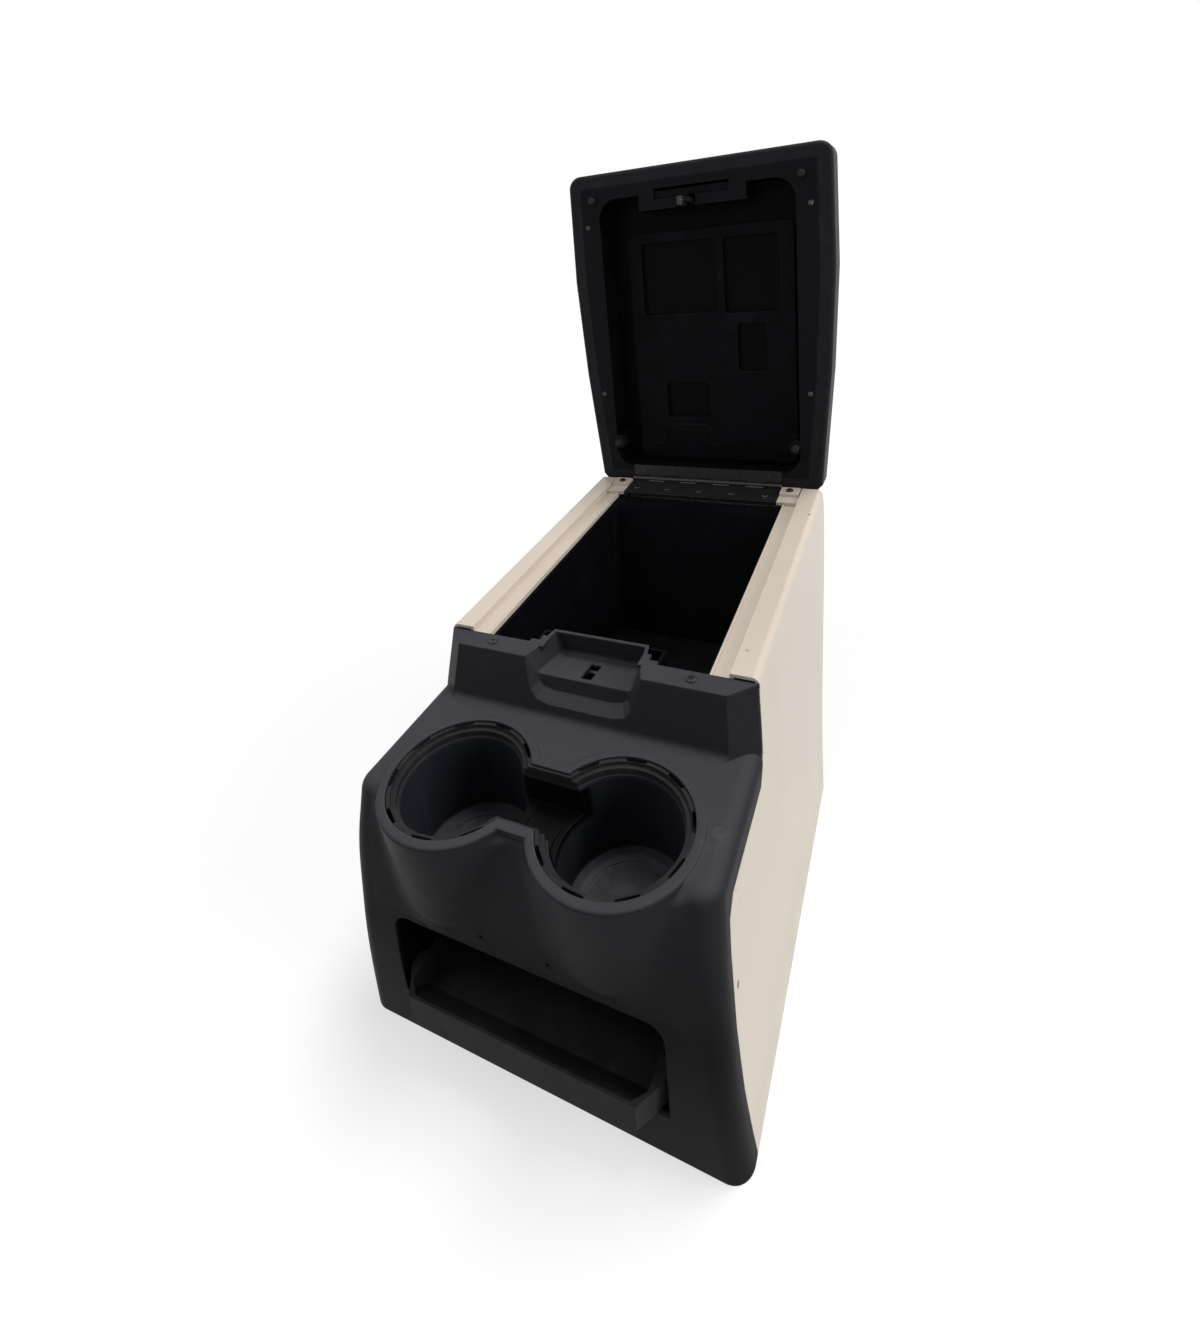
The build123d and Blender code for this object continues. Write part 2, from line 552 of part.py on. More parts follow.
tub_notch_half = RECESS_TOP_HALF_FRONT + BEZEL_WALL + NOTCH_ROOM
tub_notch_rear = RECESS_REAR_Y + BEZEL_WALL + NOTCH_ROOM
tub_notch_floor = STRIKER_Z - 13
bin_outer = bin_form(BIN_WALL, BIN_FLOOR_Z - BIN_WALL, bin_rim_top)
rim = block(-BIN_HALF_TOP - BIN_RIM_WIDTH, BIN_HALF_TOP + BIN_RIM_WIDTH, FLANGE_SCREW_Y - 7, BIN_REAR_TOP_Y + 22,
            bin_rim_top - BIN_WALL, bin_rim_top)
storage_bin = bin_outer + rim - bin_form(0, BIN_FLOOR_Z, bin_rim_top + 5)
notch_walls = block(-tub_notch_half - BIN_WALL, tub_notch_half + BIN_WALL, BIN_FRONT_Y - 1, tub_notch_rear + BIN_WALL,
                    tub_notch_floor - BIN_WALL, bin_rim_top)
notch = block(-tub_notch_half, tub_notch_half, WALL_FOLD_Y, tub_notch_rear, tub_notch_floor, FAR)
backing_half = POCKET_MOUTH[-1][0] + BEZEL_WALL + NOTCH_ROOM
backing_room = block(-backing_half, backing_half, WALL_FOLD_Y, WALL_TOP_Y + backing_depth + 1,
                     bin_rim_top - 10, FAR)
storage_bin = storage_bin + notch_walls - notch - backing_room
for x in (-FLANGE_SCREW_X, FLANGE_SCREW_X):
    storage_bin = storage_bin - cylinder_z(x, FLANGE_SCREW_Y, bin_rim_top - 10, FAR, SCREW_HOLE_R)
export_step(storage_bin, "parts/storage_bin.step")

mat = block(-BIN_HALF_FLOOR + 9, BIN_HALF_FLOOR - 9, BIN_FRONT_Y + 9, BIN_REAR_FLOOR_Y - 9, BIN_FLOOR_Z,
            BIN_FLOOR_Z + MAT_THICKNESS)
mat = fillet(mat.edges().filter_by(Axis.Z), 10)
export_step(mat, "parts/bin_mat.step")

# Double cup insert with the mug handle channel
flange_under = ring_seat_z - INSERT_FLANGE
insert = figure_eight(opening_r + COLLAR_WALL, RING_CLEARANCE + COLLAR_WALL, flange_under, ring_seat_z)
channel_y0 = BRIDGE_FRONT_Y + 2
channel_y1 = BRIDGE_REAR_Y - 2
insert = insert + block(-BRIDGE_HALF, BRIDGE_HALF, channel_y0 - CUP_WALL, channel_y1 + CUP_WALL,
                        CHANNEL_FLOOR_Z - CUP_WALL, ring_seat_z)
for side in (-1, 1):
    insert = insert + cone_z(side * CUP_X, CUP_Y, CUP_FLOOR_Z - CUP_WALL, ring_seat_z, CUP_FLOOR_R + CUP_WALL,
                             CUP_RIM_R + CUP_WALL)
for side in (-1, 1):
    insert = insert - cone_z(side * CUP_X, CUP_Y, CUP_FLOOR_Z, ring_seat_z, CUP_FLOOR_R, CUP_RIM_R)
    insert = insert - cylinder_z(side * CUP_X, CUP_Y, CUP_FLOOR_Z - FLOOR_DISH_DEPTH, CUP_FLOOR_Z + 1, FLOOR_DISH_R)
channel_half = BRIDGE_HALF + 2
insert = insert - block(-channel_half, channel_half, channel_y0, channel_y1, CHANNEL_FLOOR_Z, FAR)
slit_zone = block(-BRIDGE_HALF, BRIDGE_HALF, channel_y0 + 4, channel_y0 + 28, CHANNEL_FLOOR_Z - 3, CHANNEL_FLOOR_Z + 3)
for side in (-1, 1):
    slit = cylinder_z(side * CUP_X, CUP_Y, CHANNEL_FLOOR_Z - SLIT_DEPTH, CHANNEL_FLOOR_Z + 2, CUP_RIM_R + 5)
    slit = slit - cylinder_z(side * CUP_X, CUP_Y, CHANNEL_FLOOR_Z - 3, CHANNEL_FLOOR_Z + 3, CUP_RIM_R + 4)
    insert = insert - (slit & slit_zone)
export_step(insert, "parts/cup_insert.step")

# Notched trim ring in a figure of eight
ring = figure_eight(RING_OUTER_R, 0, ring_seat_z, DECK_TOP)
for side in (-1, 1):
    ring = ring - cylinder_z(side * CUP_X, CUP_Y, ring_seat_z - 1, DECK_TOP + 1, RING_INNER_R)
    ring = ring - cylinder_z(side * CUP_X, CUP_Y, DECK_TOP - RING_STEP_DEPTH, DECK_TOP + 1,
                             RING_OUTER_R - RING_STEP_WIDTH)
    for angle in NOTCH_ANGLES:
        cut = block(RING_OUTER_R - NOTCH_DEPTH, RING_OUTER_R + 5, -NOTCH_LENGTH / 2, NOTCH_LENGTH / 2,
                    ring_seat_z - 1, DECK_TOP + 1)
        ring = ring - Pos(side * CUP_X, CUP_Y, 0) * (Rot(0, 0, angle if side > 0 else 180 - angle) * cut)
ring = ring - block(-channel_half, channel_half, channel_y0, channel_y1, ring_seat_z - 1, DECK_TOP + 1)
export_step(ring, "parts/cup_ring.step")

# Striker under the slot of the latch recess
striker_leg_x = SLOT_HALF_WIDTH + 3
striker = cylinder_x(-striker_leg_x - 2, striker_leg_x + 2, STRIKER_Y, STRIKER_Z, STRIKER_ROD_R)
for leg in both_sides(block(striker_leg_x - 2, striker_leg_x + 2, STRIKER_Y - 4, STRIKER_Y + 4,
                            STRIKER_Z - STRIKER_ROD_R, RECESS_FLOOR_REAR_Z)):
    striker = striker + leg
striker = striker - bezel
striker = compound_of([s for s in striker.solids() if s.volume > 100])
export_step(striker, "parts/striker.step")

# Tray housing, runners and tray
housing = mouth_room(HOUSING_WALL, -FAR, HOUSING_REAR_Y + HOUSING_WALL) & bezel_form(BEZEL_WALL)
housing = housing - mouth_room(0, -FAR, HOUSING_REAR_Y)
export_step(housing, "parts/tray_housing.step")

tray_bottom = TRAY_MOUTH_BOTTOM + TRAY_CLEARANCE
tray_floor = tray_bottom + TRAY_WALL
cheek_back_y = TRAY_CHEEK_Y + 8
tray_plan = [(TRAY_FRONT_HALF, TRAY_FRONT_Y - 10), (TRAY_FRONT_HALF, TRAY_FRONT_Y + 3),
             (TRAY_CHEEK_HALF, TRAY_CHEEK_Y), (TRAY_CHEEK_HALF, cheek_back_y), (TRAY_HALF, cheek_back_y + 5),
             (TRAY_HALF, TRAY_REAR_Y)]
tray_plan = tray_plan + [(-x, y) for x, y in reversed(tray_plan)]
tray_side = [(TRAY_FRONT_Y, tray_bottom), (TRAY_FRONT_Y + 4, TRAY_TOP), (TRAY_REAR_Y, TRAY_TOP),
             (TRAY_REAR_Y, tray_bottom)]
tray = xy_prism(tray_plan, tray_bottom, TRAY_TOP) & yz_prism(tray_side, -FAR, FAR)
inner_half = TRAY_HALF - TRAY_WALL
inner_rear_y = TRAY_REAR_Y - TRAY_WALL
inner_top_y = TRAY_FRONT_Y + 6
slope = TRAY_FRONT_SLOPE / (TRAY_TOP - tray_floor)
hollow_plan = [(TRAY_FRONT_HALF - 4, inner_top_y - 10), (TRAY_FRONT_HALF - 4, inner_top_y),
               (inner_half, inner_top_y + 9), (inner_half, inner_rear_y)]
hollow_plan = hollow_plan + [(-x, y) for x, y in reversed(hollow_plan)]
hollow_side = [(inner_top_y + TRAY_FRONT_SLOPE, tray_floor), (inner_top_y - 5 * slope, TRAY_TOP + 5),
               (inner_rear_y, TRAY_TOP + 5), (inner_rear_y, tray_floor)]
hollow = xy_prism(hollow_plan, tray_floor, TRAY_TOP + 5)
hollow = fillet(hollow.edges().filter_by(Axis.Z).group_by(Axis.Y)[2], TRAY_INNER_RADIUS)
tray = tray - (hollow & yz_prism(hollow_side, -FAR, FAR))
export_step(tray, "parts/tray.step")

runner = block(TRAY_HALF - RUNNER_OVERLAP, TRAY_MOUTH_HALF, RUNNER_FRONT_Y, HOUSING_REAR_Y, TRAY_TOP + TRAY_CLEARANCE,
               TRAY_TOP + TRAY_CLEARANCE + RUNNER_HEIGHT)
export_step(compound_of(both_sides(runner)), "parts/tray_runners.step")

# Piano hinge: body leaf, lid leaf and pin
knuckle_pitch = 2 * HINGE_HALF_LENGTH / KNUCKLE_COUNT


def knuckles(first):
    """The spans along the hinge line of every other knuckle."""
    spans = []
    for index in range(first, KNUCKLE_COUNT, 2):
        x0 = -HINGE_HALF_LENGTH + index * knuckle_pitch + KNUCKLE_GAP / 2
        spans.append((x0, x0 + knuckle_pitch - KNUCKLE_GAP))
    return spans


def hinge_leaf(first, hole_r, width, low):
    z0 = HINGE_Z - KNUCKLE_R if low else HINGE_Z + KNUCKLE_R - LEAF_THICKNESS
    root = KNUCKLE_R + KNUCKLE_GAP
    leaf = block(-HINGE_HALF_LENGTH, HINGE_HALF_LENGTH, HINGE_Y - width, HINGE_Y - root, z0, z0 + LEAF_THICKNESS)
    for x0, x1 in knuckles(first):
        leaf = leaf + block(x0, x1, HINGE_Y - root - 1, HINGE_Y, z0, z0 + LEAF_THICKNESS)
        leaf = leaf + cylinder_x(x0, x1, HINGE_Y, HINGE_Z, KNUCKLE_R)
    for x0, x1 in knuckles(first):
        leaf = leaf - cylinder_x(x0 - 0.1, x1 + 0.1, HINGE_Y, HINGE_Z, hole_r)
    return leaf


body_leaf = hinge_leaf(0, HINGE_PIN_R, BODY_LEAF_WIDTH, True)
for x in hinge_screw_x:
    body_leaf = body_leaf - cylinder_z(x, hinge_screw_y, LEDGE_TOP - 10, FAR, SCREW_HOLE_R)
export_step(body_leaf, "parts/hinge_body_leaf.step")
hinge_pin = cylinder_x(-HINGE_HALF_LENGTH - 0.6, HINGE_HALF_LENGTH + 0.6, HINGE_Y, HINGE_Z, HINGE_PIN_R)
export_step(hinge_pin, "parts/hinge_pin.step")

hinge_screws = [screw(x, hinge_screw_y, crossbar_top + LEAF_THICKNESS, 4.5) for x in hinge_screw_x]
export_step(compound_of(hinge_screws), "parts/hinge_screws.step")
end_screws = [screw(x, end_screw_y, end_block_top, 6) for x in (-end_screw_x, end_screw_x)]
export_step(compound_of(end_screws), "parts/end_block_screws.step")
bezel_screws = [screw(x, FLANGE_SCREW_Y, FLANGE_TOP, 8) for x in (-FLANGE_SCREW_X, FLANGE_SCREW_X)]
export_step(compound_of(bezel_screws), "parts/bezel_screws.step")


# Lid: drawn closed, then turned open about the hinge
def opened(shape):
    return shape.rotate(Axis((0, HINGE_Y, HINGE_Z), (1, 0, 0)), -LID_OPEN_DEG)


def at_length(distance):
    return HINGE_Y - distance


def lid_face(inset):
    half = [(x, at_length(length)) for x, length in LID_OUTLINE]
    outline = half + [(-x, y) for x, y in reversed(half)]
    face = make_face(Polyline(*outline, close=True))
    front = [v for v in face.vertices() if v.Y < at_length(LID_LENGTH - LID_CORNER_RADIUS)]
    face = fillet(front, LID_CORNER_RADIUS)
    if inset > 0:
        face = offset(face, -inset)
    return face


def lid_prism(inset, z0, z1):
    return extrude(Plane.XY.offset(z0) * lid_face(inset), z1 - z0)


def lid_block(x0, x1, near, far, z0, z1):
    return block(x0, x1, at_length(far), at_length(near), z0, z1)


def rounded_lid_block(x0, x1, near, far, z0, z1, radius):
    return fillet(lid_block(x0, x1, near, far, z0, z1).edges().filter_by(Axis.Z), radius)


cover = lid_prism(0, RIM_Z, LID_TOP_Z)
cover = fillet(cover.edges().group_by(Axis.Z)[-1], LID_TOP_RADIUS)
cover = fillet(cover.edges().group_by(Axis.Z)[0], LID_RIM_RADIUS)
cover_room = lid_prism(LID_SKIN, RIM_Z + LID_SKIN, LID_TOP_Z - LID_SKIN)
cover_room = fillet(cover_room.edges().group_by(Axis.Z)[-1], LID_TOP_RADIUS - LID_SKIN)
cover = cover - cover_room - lid_prism(LID_BAND, RIM_Z - 1, RIM_Z + LID_SKIN + 1)
screw_spots = [(side * x, at_length(length)) for x, length in LINER_SCREWS for side in (-1, 1)]
screw_end_z = RIM_Z + LINER_WALL + LINER_SCREW_DEPTH
for x, y in screw_spots:
    cover = cover + cylinder_z(x, y, RIM_Z + LINER_WALL, LID_TOP_Z - LID_SKIN + 1, LINER_POST_R)
    cover = cover - cylinder_z(x, y, RIM_Z, screw_end_z + 1, LINER_SCREW_R + SCREW_HOLE_ROOM)
export_step(opened(cover), "parts/lid_cover.step")

cavity_floor = RIM_Z + CAVITY_DEPTH
plate_face = cavity_floor - PLATE_HEIGHT
liner = lid_prism(LID_BAND + LINER_GAP, RIM_Z, RIM_Z + LINER_WALL)
liner = liner + rounded_lid_block(-CAVITY_HALF - LINER_WALL, CAVITY_HALF + LINER_WALL, CAVITY_REAR_L - LINER_WALL,
                                  CAVITY_FRONT_L + LINER_WALL, RIM_Z, cavity_floor + LINER_WALL,
                                  CAVITY_RADIUS + LINER_WALL)
cavity = rounded_lid_block(-CAVITY_HALF, CAVITY_HALF, CAVITY_REAR_L, CAVITY_FRONT_L, RIM_Z - 1, cavity_floor,
                           CAVITY_RADIUS)
cavity = cavity - lid_block(-BOSS_HALF, BOSS_HALF, BOSS_REAR_L, CAVITY_FRONT_L + 5, RIM_Z - 2, cavity_floor + 1)
for x in (-REAR_BUMPER[0], REAR_BUMPER[0]):
    cavity = cavity - cylinder_z(x, at_length(REAR_BUMPER[1]), RIM_Z, cavity_floor + 1, BUMPER_R + 4)
liner = liner - cavity


# The raised plate with its pockets, hollow behind like the rest of the moulding
def plate_block(spot, grow, z0, z1, radius):
    x0, x1, near, far = spot
    return rounded_lid_block(x0 - grow, x1 + grow, near - grow, far + grow, z0, z1, radius + grow)


plate = plate_block(PLATE, 0, plate_face, cavity_floor, PLATE_RADIUS)
plate_room = plate_block(PLATE, -LINER_WALL, plate_face + LINER_WALL, cavity_floor + LINER_WALL + 1, PLATE_RADIUS)
for spot in POCKETS:
    plate = plate - plate_block(spot, 0, plate_face - 1, plate_face + POCKET_DEPTH, POCKET_RADIUS)
    plate_room = plate_room - plate_block(spot, LINER_WALL, plate_face, plate_face + POCKET_DEPTH + LINER_WALL,
                                          POCKET_RADIUS)
rib_path = Polyline(*[(x, at_length(length)) for x, length in U_RIB])
rib = extrude(Plane.XY.offset(plate_face - U_RIB_HEIGHT) * trace(rib_path, U_RIB_WIDTH), U_RIB_HEIGHT)
liner = liner + plate - plate_room + rib
liner = liner - lid_block(-BOSS_HALF + LINER_WALL, BOSS_HALF - LINER_WALL, BOSS_REAR_L + LINER_WALL,
                          CAVITY_FRONT_L + LATCH_ROOM, RIM_Z + LINER_WALL, cavity_floor + 5)
liner = liner - lid_block(-PADDLE_SLOT_HALF, PADDLE_SLOT_HALF, PADDLE_SLOT_REAR_L, PADDLE_SLOT_FRONT_L, RIM_Z - 1,
                          RIM_Z + LINER_WALL + 1)
hook_slot_half = HOOK_HALF + HOOK_ROOM
liner = liner - block(-hook_slot_half, hook_slot_half, LATCH_PIN_Y - 10, at_length(BOSS_REAR_L) + 3, RIM_Z - 1,
                      LATCH_PIN_Z + 7)
for x, y in screw_spots:
    liner = liner - cylinder_z(x, y, RIM_Z - 1, RIM_Z + LINER_WALL + 1, LINER_SCREW_R + SCREW_HOLE_ROOM)
export_step(opened(liner), "parts/lid_liner.step")

liner_screws = []
for x, y in screw_spots:
    head = cylinder_z(x, y, RIM_Z - LINER_HEAD_HEIGHT, RIM_Z, LINER_HEAD_R)
    head = chamfer(head.edges().group_by(Axis.Z)[0], 0.6)
    liner_screws.append(head + cylinder_z(x, y, RIM_Z, screw_end_z, LINER_SCREW_R))
export_step(opened(compound_of(liner_screws)), "parts/liner_screws.step")

bumpers = []
for (x, length), foot in ((FRONT_BUMPER, FLANGE_TOP), (REAR_BUMPER, LEDGE_TOP)):
    for side in (-1, 1):
        stub = cylinder_z(side * x, at_length(length), foot + BUMPER_CLEARANCE, RIM_Z, BUMPER_R)
        bumpers.append(fillet(stub.edges().group_by(Axis.Z)[0], 1.5))
export_step(opened(compound_of(bumpers)), "parts/lid_bumpers.step")

lid_leaf = hinge_leaf(1, HINGE_PIN_R + HINGE_CLEARANCE, LID_LEAF_WIDTH, False)
export_step(opened(lid_leaf), "parts/hinge_lid_leaf.step")
leaf_screw_y = HINGE_Y - (LID_LEAF_WIDTH + KNUCKLE_R + 1) / 2
leaf_face = RIM_Z - LEAF_THICKNESS
leaf_screws = [cylinder_z(x, leaf_screw_y, leaf_face - 1.2, leaf_face, LINER_HEAD_R) for x in hinge_screw_x]
export_step(opened(compound_of(leaf_screws)), "parts/lid_leaf_screws.step")

# Latch: frame, pin, paddle and hook on one pivot
frame_y0 = at_length(PADDLE_SLOT_FRONT_L) - LATCH_FRAME_WALL
frame_y1 = LATCH_PIN_Y + 2.5
frame_z0 = RIM_Z + LINER_WALL
frame_z1 = LATCH_PIN_Z + 6
ear_x = PADDLE_SLOT_HALF
ear_end = ear_x + 2 * LATCH_FRAME_WALL
latch_frame = block(-ear_end, ear_end, frame_y0, frame_y0 + LATCH_FRAME_WALL, frame_z0, frame_z1)
for frame_ear in both_sides(block(ear_x, ear_end, frame_y0, frame_y1, frame_z0, frame_z1)):
    latch_frame = latch_frame + frame_ear
latch_frame = latch_frame - cylinder_x(-FAR, FAR, LATCH_PIN_Y, LATCH_PIN_Z, LATCH_PIN_R)
export_step(opened(latch_frame), "parts/latch_frame.step")
export_step(opened(cylinder_x(-ear_end, ear_end, LATCH_PIN_Y, LATCH_PIN_Z, LATCH_PIN_R)), "parts/latch_pin.step")

pin_hole_r = LATCH_PIN_R + LATCH_CLEARANCE
paddle_x = ear_x - LATCH_SIDE_GAP
lip_front = at_length(PADDLE_SLOT_FRONT_L) + 2.8
paddle_side = [(lip_front, RIM_Z + 3), (LATCH_PIN_Y - 5, RIM_Z + 3), (LATCH_PIN_Y - 2, RIM_Z + 7),
               (LATCH_PIN_Y + 3, LATCH_PIN_Z - 3), (LATCH_PIN_Y - 3, LATCH_PIN_Z + 1), (LATCH_PIN_Y - 7, RIM_Z + 8),
               (lip_front, RIM_Z + 6)]
paddle = yz_prism(paddle_side, -paddle_x, paddle_x)
paddle = paddle + cylinder_x(-paddle_x, paddle_x, LATCH_PIN_Y, LATCH_PIN_Z, PADDLE_BARREL_R)
paddle = paddle - block(-HOOK_HALF - 0.3, HOOK_HALF + 0.3, LATCH_PIN_Y - 6.5, LATCH_PIN_Y + 9, RIM_Z, LATCH_PIN_Z + 8)
paddle = paddle - cylinder_x(-FAR, FAR, LATCH_PIN_Y, LATCH_PIN_Z, pin_hole_r)
export_step(opened(paddle), "parts/latch_paddle.step")

hook_top = STRIKER_Z - STRIKER_ROD_R - HOOK_GAP
hook_rear = LATCH_PIN_Y + HOOK_SHANK_DEPTH
hook_side = [(LATCH_PIN_Y - 1.5, LATCH_PIN_Z), (hook_rear, LATCH_PIN_Z), (hook_rear, hook_top),
             (STRIKER_Y + STRIKER_ROD_R + 1, hook_top), (STRIKER_Y + 1, hook_top - 5),
             (LATCH_PIN_Y - 1.5, hook_top - 5)]
hook = yz_prism(hook_side, -HOOK_HALF, HOOK_HALF)
hook = hook + cylinder_x(-HOOK_HALF, HOOK_HALF, LATCH_PIN_Y, LATCH_PIN_Z, HOOK_EYE_R)
hook = hook - cylinder_x(-FAR, FAR, LATCH_PIN_Y, LATCH_PIN_Z, pin_hole_r)
export_step(opened(hook), "parts/latch_hook.step")

# Floor feet across the base, turned up against the side panels
foot_inset = PANEL_WALL + FOOT_CLEARANCE
for name, y in (("floor_foot_front", -BOLT_Y), ("floor_foot_rear", BOLT_Y)):
    span = width_form(foot_inset, y - FOOT_WIDTH / 2, y + FOOT_WIDTH / 2, 0, RAIL_TOP + 3)
    hollow = width_form(foot_inset + FOOT_THICKNESS, y - FOOT_WIDTH, y + FOOT_WIDTH, -10, RAIL_TOP + 8)
    turned_up = (span - hollow) & block(-FAR, FAR, -FAR, FAR, 0, FOOT_TURN_UP)
    foot = turned_up + (span & block(-FAR, FAR, -FAR, FAR, 0, FOOT_THICKNESS))
    for x in (-BOLT_X, BOLT_X):
        foot = foot - cylinder_z(x, y, -1, FOOT_THICKNESS + 1, BOLT_HOLE_R)
    export_step(foot, f"parts/{name}.step")
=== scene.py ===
import json
import math

import bpy
import bmesh
import numpy as np
from mathutils import Matrix, Vector
from mathutils.bvhtree import BVHTree


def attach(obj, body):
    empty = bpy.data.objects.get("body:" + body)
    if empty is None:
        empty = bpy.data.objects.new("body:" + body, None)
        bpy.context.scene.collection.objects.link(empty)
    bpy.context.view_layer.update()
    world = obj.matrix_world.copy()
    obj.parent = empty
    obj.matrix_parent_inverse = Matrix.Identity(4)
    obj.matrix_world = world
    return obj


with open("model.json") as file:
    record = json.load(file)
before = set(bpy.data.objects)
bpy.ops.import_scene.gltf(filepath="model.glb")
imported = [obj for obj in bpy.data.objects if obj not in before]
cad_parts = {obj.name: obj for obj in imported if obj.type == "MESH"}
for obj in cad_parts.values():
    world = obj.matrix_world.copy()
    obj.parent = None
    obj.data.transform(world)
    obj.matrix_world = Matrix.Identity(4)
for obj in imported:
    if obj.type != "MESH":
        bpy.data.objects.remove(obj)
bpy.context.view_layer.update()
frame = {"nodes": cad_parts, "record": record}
nodes = frame["nodes"]

MM = 0.001

# Camera, found from the cup rims, rails and lid in the photograph. Its place and lens are in
# millimetres, and its turn to the left, its tilt down and its roll are in degrees.
CAMERA_PLACE = (250.4, -398.9, 610.4)
CAMERA_TURN = 27.3
CAMERA_DOWN = 19.5
CAMERA_ROLL = -8.1
CAMERA_LENS = 18.376
CAMERA_SENSOR = 36
CAMERA_SHIFT = (-0.0035, -0.1745)
CAMERA_NEAREST = 0.01

# Light: the world's strength on the console, and each sun's name, the way to it, its strength and
# its spread in degrees
WORLD_LIGHT = 0.34
SUNS = (
    ("high", (0.25, 0.35, 1.0), 1.85, 22),
    ("right", (1.0, 0.1, 0.45), 1.5, 30),
    ("left", (-0.7, -0.45, 0.9), 0.5, 30),
)

# Floor: its side in metres, its grey for light that falls on the console, its grey where it is seen,
# and the share of it that glows there
FLOOR_SIDE = 60
FLOOR_DULL = (0.35, 0.35, 0.35)
FLOOR_PALE = (0.94, 0.94, 0.94)
FLOOR_GLOW = 0.6
WHITE = (1.0, 1.0, 1.0)

# Floor that the console covers, in metres: half its width, its front and rear, and its soft edge
BASE_HALF = 0.145
BASE_FRONT = -0.155
BASE_REAR = 0.165
BASE_SOFT = 0.01

# Radius of the soft look of edges, in metres
SOFT_EDGE = 0.0009
MOULDED_EDGE = 0.0022
PLATE_EDGE = 0.0016

# Moulded grain: cells and ripples to a metre, and its height in metres
GRAIN_CELLS = 1900
GRAIN_RIPPLES = 500
BEZEL_CELLS = 2300
BEZEL_RIPPLES = 900
GRAIN_HEIGHT = 0.00035

# Bezel, in metres: painted shade makes it darker and browner from the first height down to the second, and
# its edges get a painted highlight, with light wear, above the deck's height and outside the sides' widths
BEZEL_SHADE_Z = (0.215, 0.13)
HIGHLIGHT_DECK_Z = (0.190, 0.200)
HIGHLIGHT_SIDE_X = (0.124, 0.132)

# Scuff on the deck beside the right-hand cup: centre and reach in millimetres
SCUFF_PLACE = (130, -95, 210)
SCUFF_REACH = (13, 22, 12)

# Beige panels: the heights in metres between which grime sets in, going down
GRIME_Z = (0.09, 0.0)

# Crossbar: half the length of its middle that is painted black as shade, and the soft end of it, in metres
SHADED_HALF = 0.0945
SHADED_SOFT = 0.0004

# Lid, in metres and degrees: the hinge line, how far the open lid leans back, how far its raised plate
# lies behind the hinge, what counts as sunk behind the plate (painted darker as shade) or as rim, and where
# it gets lighter higher up (painted light)
HINGE_Y = 0.3347
HINGE_Z = 0.257
LID_LEAN = 6.6
PLATE_BEHIND = 0.033
SUNK_BEHIND = (PLATE_BEHIND + 0.0012, PLATE_BEHIND + 0.0042)
RIM_BEHIND = (0.0062, 0.0040)
LIT_HIGHER_Z = (0.30, 0.48)

# Tray, in metres: painted shade makes it darker from just behind its front to this far back
TRAY_FRONT = -0.187
TRAY_SHADE_Y = (TRAY_FRONT + 0.003, TRAY_FRONT + 0.090)

# Cup wells: centre and floor of the right-hand one and the worn ring on its floor, in millimetres
CUP_X = 64.9
CUP_Y = -105.9
CUP_FLOOR = 132
WORN_RING_OUTER = (41, 41, 41)
WORN_RING_INNER = (34, 34, 34)

# Cup wells, in metres: the top of the dusty floors, the sides, floor and top of the channel between the
# wells, which is painted black as shade, and the rim, whose top edge gets a painted highlight
DUSTY_FLOOR_Z = (0.1345, 0.1325)
CHANNEL_X = (0.031, 0.028)
CHANNEL_FLOOR_Z = (0.170, 0.174)
CHANNEL_TOP_Z = (0.1995, 0.1985)
CUP_RIM_Z = (0.1990, 0.1998)

# Nicks, chips and a hole in the beige plastic: centre and reach in millimetres, and strength
BEIGE_MARKS = (
    ((150, -128.9, 129.5), (8, 3.4, 5.4), 1.0),
    ((144.5, -13, 205), (5, 1.5, 2.0), 0.8),
    ((146, -107, 184), (5, 1.4, 1.8), 0.7),
    ((146, -104, 172), (5, 1.0, 1.2), 0.5),
    # the hole is a dark painted spot: painted shade inside it
    ((135.8, 269.2, 257), (1.9, 1.9, 4), 1.0),
    ((124.8, 34, 257), (3.2, 2.6, 3), 0.35),
)

# Blends round the cup fronts, in metres: mesh step, half width, lowest and highest point, the strip in
# which they fade out, how far each pass spreads, the passes, and the thickness that still counts
BLEND_STEP = 0.0015
BLEND_HALF = 0.129
BLEND_LOW = 0.1165
BLEND_HIGH = 0.2075
BLEND_FADE = 0.006
BLEND_SPREAD = 0.0036
BLEND_PASSES = 4
BLEND_THIN = 0.00006
BEFORE_BEZEL_Y = -0.3

# Screw holes in the bezel's face, in metres
HOLE_X = 0.0273
HOLE_Z = 0.1266
HOLE_REACH = 0.0028

# Sockets of a Mix node that mixes colours
MIX_FIRST = 6
MIX_SECOND = 7
MIX_RESULT = 2


class Field:
    """A socket of a material, so that sums on it can be written as sums."""

    def __init__(self, finish, socket):
        self.finish = finish
        self.socket = socket

    def _math(self, operation, *values):
        settings = {"operation": operation}
        return self.finish.node("ShaderNodeMath", settings, dict(enumerate(values))).field(0)

    def __add__(self, other):
        return self._math("ADD", self, other)

    def __radd__(self, other):
        return self._math("ADD", other, self)

    def __sub__(self, other):
        return self._math("SUBTRACT", self, other)

    def __rsub__(self, other):
        return self._math("SUBTRACT", other, self)

    def __mul__(self, other):
        return self._math("MULTIPLY", self, other)

    def __rmul__(self, other):
        return self._math("MULTIPLY", other, self)

    def most(self, other):
        return self._math("MAXIMUM", self, other)

    def size(self):
        return self._math("ABSOLUTE", self)

    def ramp(self, low, high):
        """0 below low, 1 above high, smooth between; low may be the larger one."""
        settings = {"interpolation_type": "SMOOTHSTEP"}
        inputs = {"Value": self, "From Min": low, "From Max": high}
        return self.finish.node("ShaderNodeMapRange", settings, inputs).field("Result")


class Node:
    """A node of a material, whose outputs are read as Fields."""

    def __init__(self, finish, node):
        self.finish = finish
        self.node = node

    def field(self, name):
        return Field(self.finish, self.node.outputs[name])


